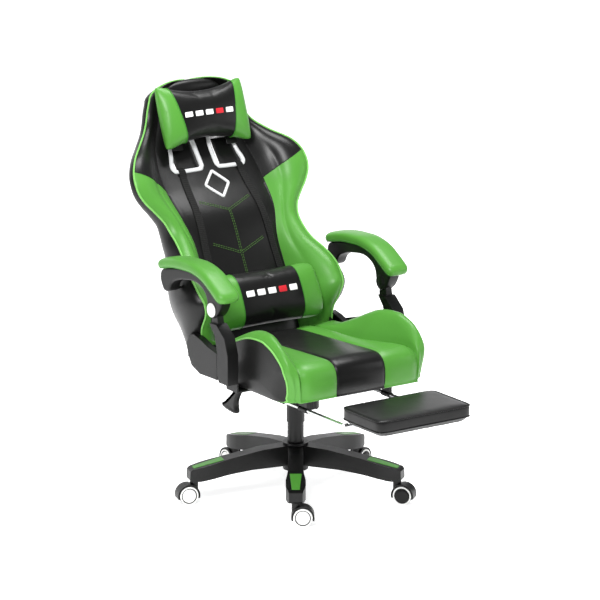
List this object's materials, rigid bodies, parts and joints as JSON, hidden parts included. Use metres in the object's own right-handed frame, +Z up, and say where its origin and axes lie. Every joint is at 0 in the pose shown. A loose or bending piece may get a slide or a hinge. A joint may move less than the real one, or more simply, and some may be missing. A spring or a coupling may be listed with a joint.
{
  "type": "gaming chair",
  "caption": "Reclining gaming chair with bucket seat, linked curved armrests, head and lumbar pillows, pull-out footrest, gas lift and five-spoke castor base.",
  "frame": {"origin": "on the floor under the gas lift, on its axis", "axes": "+Z up; the sitter faces -Y; the sitter's right is -X"},
  "size_m": [0.7304, 1.3367, 1.1998],
  "materials": {
    "nylon_black": "moulded, satin",
    "plastic_green": "moulded, semi-gloss",
    "plastic_light": "moulded, semi-gloss",
    "leather_black": "satin coated leather",
    "leather_green": "satin coated leather",
    "webbing_black": "woven",
    "dust_cover": "plywood under black non-woven cloth",
    "steel_black": "powder coated",
    "steel_plated": "plated",
    "trim_silver": "satin"
  },
  "bodies": {
    "base": {"star_base": "nylon_black", "base_inserts": "plastic_green", "gas_tube": "steel_black"},
    "lift": {"gas_rod": "steel_plated"},
    "mechanism": {"mechanism_housing": "steel_black", "column_sleeve": "nylon_black", "tilt_pin": "steel_plated"},
    "knob": {"tension_knob": "nylon_black"},
    "lever_slider": {"lever_bush": "nylon_black"},
    "lever": {"height_lever": "nylon_black"},
    "seat": {"mechanism_plate": "steel_black", "seat_bolts": "steel_plated", "seat_board": "dust_cover", "seat_cushion": "leather_black", "seat_wing_right": "leather_green", "seat_wing_left": "leather_green", "recliner_base_right": "steel_black", "recliner_base_left": "steel_black", "recliner_cover_right": "nylon_black", "recliner_cover_left": "nylon_black", "arm_bracket_right": "steel_black", "arm_bracket_left": "steel_black", "footrest_guides": "nylon_black"},
    "recline_handle": {"recline_lever": "nylon_black"},
    "back": {"back_frame": "steel_black", "back_shell": "leather_black", "back_pad": "leather_black", "back_bolster_right": "leather_green", "back_bolster_left": "leather_green", "recliner_arm_right": "steel_black", "recliner_arm_left": "steel_black", "harness_rings": "trim_silver", "pillow_straps": "webbing_black"},
    "headrest": {"head_pillow": "leather_black", "strap_buckles": "nylon_black"},
    "lumbar": {"lumbar_pillow": "leather_black"},
    "post_right": {"arm_post_right": "nylon_black"},
    "post_left": {"arm_post_left": "nylon_black"},
    "beam_right": {"arm_beam_right": "nylon_black", "arm_pad_right": "leather_green", "pivot_cap_right": "plastic_light"},
    "beam_left": {"arm_beam_left": "nylon_black", "arm_pad_left": "leather_green", "pivot_cap_left": "plastic_light"},
    "foot_slider": {"footrest_rods": "steel_plated", "footrest_axle": "steel_plated"},
    "foot_flap": {"footrest_brackets": "steel_plated", "footrest_board": "dust_cover", "footrest_pad": "leather_black"},
    "castor_1": {"castor_hood_1": "nylon_black"},
    "wheels_1": {"castor_wheels_1": "plastic_light"},
    "castor_2": {"castor_hood_2": "nylon_black"},
    "wheels_2": {"castor_wheels_2": "plastic_light"},
    "castor_3": {"castor_hood_3": "nylon_black"},
    "wheels_3": {"castor_wheels_3": "plastic_light"},
    "castor_4": {"castor_hood_4": "nylon_black"},
    "wheels_4": {"castor_wheels_4": "plastic_light"},
    "castor_5": {"castor_hood_5": "nylon_black"},
    "wheels_5": {"castor_wheels_5": "plastic_light"}
  },
  "joints": [
    {"name": "height", "type": "slide", "parent": "base", "child": "lift", "axis": [0, 0, 1], "range_m": [-0.06, 0.02]},
    {"name": "swivel", "type": "hinge", "parent": "lift", "child": "mechanism", "pos_m": [0, 0, 0.333], "axis": [0, 0, 1], "continuous": true},
    {"name": "tilt", "type": "hinge", "parent": "mechanism", "child": "seat", "pos_m": [0, -0.07, 0.367], "axis": [-1, 0, 0], "range_deg": [0, 12]},
    {"name": "tension", "type": "hinge", "parent": "mechanism", "child": "knob", "pos_m": [0, -0.078, 0.313], "axis": [0, 0, 1], "continuous": true},
    {"name": "lever_pull", "type": "slide", "parent": "seat", "child": "lever_slider", "axis": [-1, 0, 0], "range_m": [0, 0.012]},
    {"name": "lever_lift", "type": "hinge", "parent": "lever_slider", "child": "lever", "pos_m": [-0.062, 0.015, 0.366], "axis": [0, 1, 0], "range_deg": [0, 5], "stiffness_Nm_per_rad": 20, "springref_deg": -1.72},
    {"name": "recline", "type": "hinge", "parent": "seat", "child": "back", "pos_m": [0, 0.16, 0.461], "axis": [-1, 0, 0], "range_deg": [-18, 45]},
    {"name": "recline_release", "type": "hinge", "parent": "seat", "child": "recline_handle", "pos_m": [0.265, 0.16, 0.461], "axis": [1, 0, 0], "range_deg": [-25, 0], "stiffness_Nm_per_rad": 1.5, "springref_deg": 17.19},
    {"name": "head_pillow_height", "type": "slide", "parent": "back", "child": "headrest", "axis": [0, 0.4384, 0.8988], "range_m": [-0.05, 0]},
    {"name": "lumbar_pillow_height", "type": "slide", "parent": "back", "child": "lumbar", "axis": [0, 0.4384, 0.8988], "range_m": [0, 0.06]},
    {"name": "post_right_pivot", "type": "hinge", "parent": "seat", "child": "post_right", "pos_m": [-0.305, -0.085, 0.447], "axis": [-1, 0, 0], "range_deg": [-18, 45]},
    {"name": "beam_right_pivot", "type": "hinge", "parent": "post_right", "child": "beam_right", "pos_m": [-0.305, -0.038, 0.631], "axis": [-1, 0, 0], "range_deg": [-45, 18]},
    {"name": "post_left_pivot", "type": "hinge", "parent": "seat", "child": "post_left", "pos_m": [0.305, -0.085, 0.447], "axis": [-1, 0, 0], "range_deg": [-18, 45]},
    {"name": "beam_left_pivot", "type": "hinge", "parent": "post_left", "child": "beam_left", "pos_m": [0.305, -0.038, 0.631], "axis": [-1, 0, 0], "range_deg": [-45, 18]},
    {"name": "footrest_slide", "type": "slide", "parent": "seat", "child": "foot_slider", "axis": [0, 1, 0], "range_m": [0, 0.16]},
    {"name": "footrest_flip", "type": "hinge", "parent": "foot_slider", "child": "foot_flap", "pos_m": [0, -0.48, 0.353], "axis": [1, 0, 0], "range_deg": [0, 180]},
    {"name": "castor_1_swivel", "type": "hinge", "parent": "base", "child": "castor_1", "pos_m": [-0.18006, -0.26695, 0.06], "axis": [0, 0, 1], "continuous": true},
    {"name": "wheels_1_roll", "type": "hinge", "parent": "castor_1", "child": "wheels_1", "pos_m": [-0.16265, -0.27869, 0.029], "axis": [0.5592, 0.829, 0], "continuous": true},
    {"name": "castor_2_swivel", "type": "hinge", "parent": "base", "child": "castor_2", "pos_m": [0.19824, -0.25374, 0.06], "axis": [0, 0, 1], "continuous": true},
    {"name": "wheels_2_roll", "type": "hinge", "parent": "castor_2", "child": "wheels_2", "pos_m": [0.21117, -0.27029, 0.029], "axis": [0.788, 0.6157, 0], "continuous": true},
    {"name": "castor_3_swivel", "type": "hinge", "parent": "base", "child": "castor_3", "pos_m": [0.30258, 0.11013, 0.06], "axis": [0, 0, 1], "continuous": true},
    {"name": "wheels_3_roll", "type": "hinge", "parent": "castor_3", "child": "wheels_3", "pos_m": [0.32232, 0.11731, 0.029], "axis": [-0.342, 0.9397, 0], "continuous": true},
    {"name": "castor_4_swivel", "type": "hinge", "parent": "base", "child": "castor_4", "pos_m": [-0.01124, 0.3218, 0.06], "axis": [0, 0, 1], "continuous": true},
    {"name": "wheels_4_roll", "type": "hinge", "parent": "castor_4", "child": "wheels_4", "pos_m": [-0.01197, 0.34279, 0.029], "axis": [-0.9994, -0.0349, 0], "continuous": true},
    {"name": "castor_5_swivel", "type": "hinge", "parent": "base", "child": "castor_5", "pos_m": [-0.30953, 0.08876, 0.06], "axis": [0, 0, 1], "continuous": true},
    {"name": "wheels_5_roll", "type": "hinge", "parent": "castor_5", "child": "wheels_5", "pos_m": [-0.32971, 0.09454, 0.029], "axis": [-0.2756, -0.9613, 0], "continuous": true}
  ],
  "couplings": [
    {"joint": "post_right_pivot", "follows": "recline", "ratio": 1},
    {"joint": "post_left_pivot", "follows": "recline", "ratio": 1},
    {"joint": "beam_right_pivot", "follows": "recline", "ratio": -1},
    {"joint": "beam_left_pivot", "follows": "recline", "ratio": -1},
    {"joint": "footrest_flip", "follows": "footrest_slide", "rad_per_m": 19.635}
  ]
}
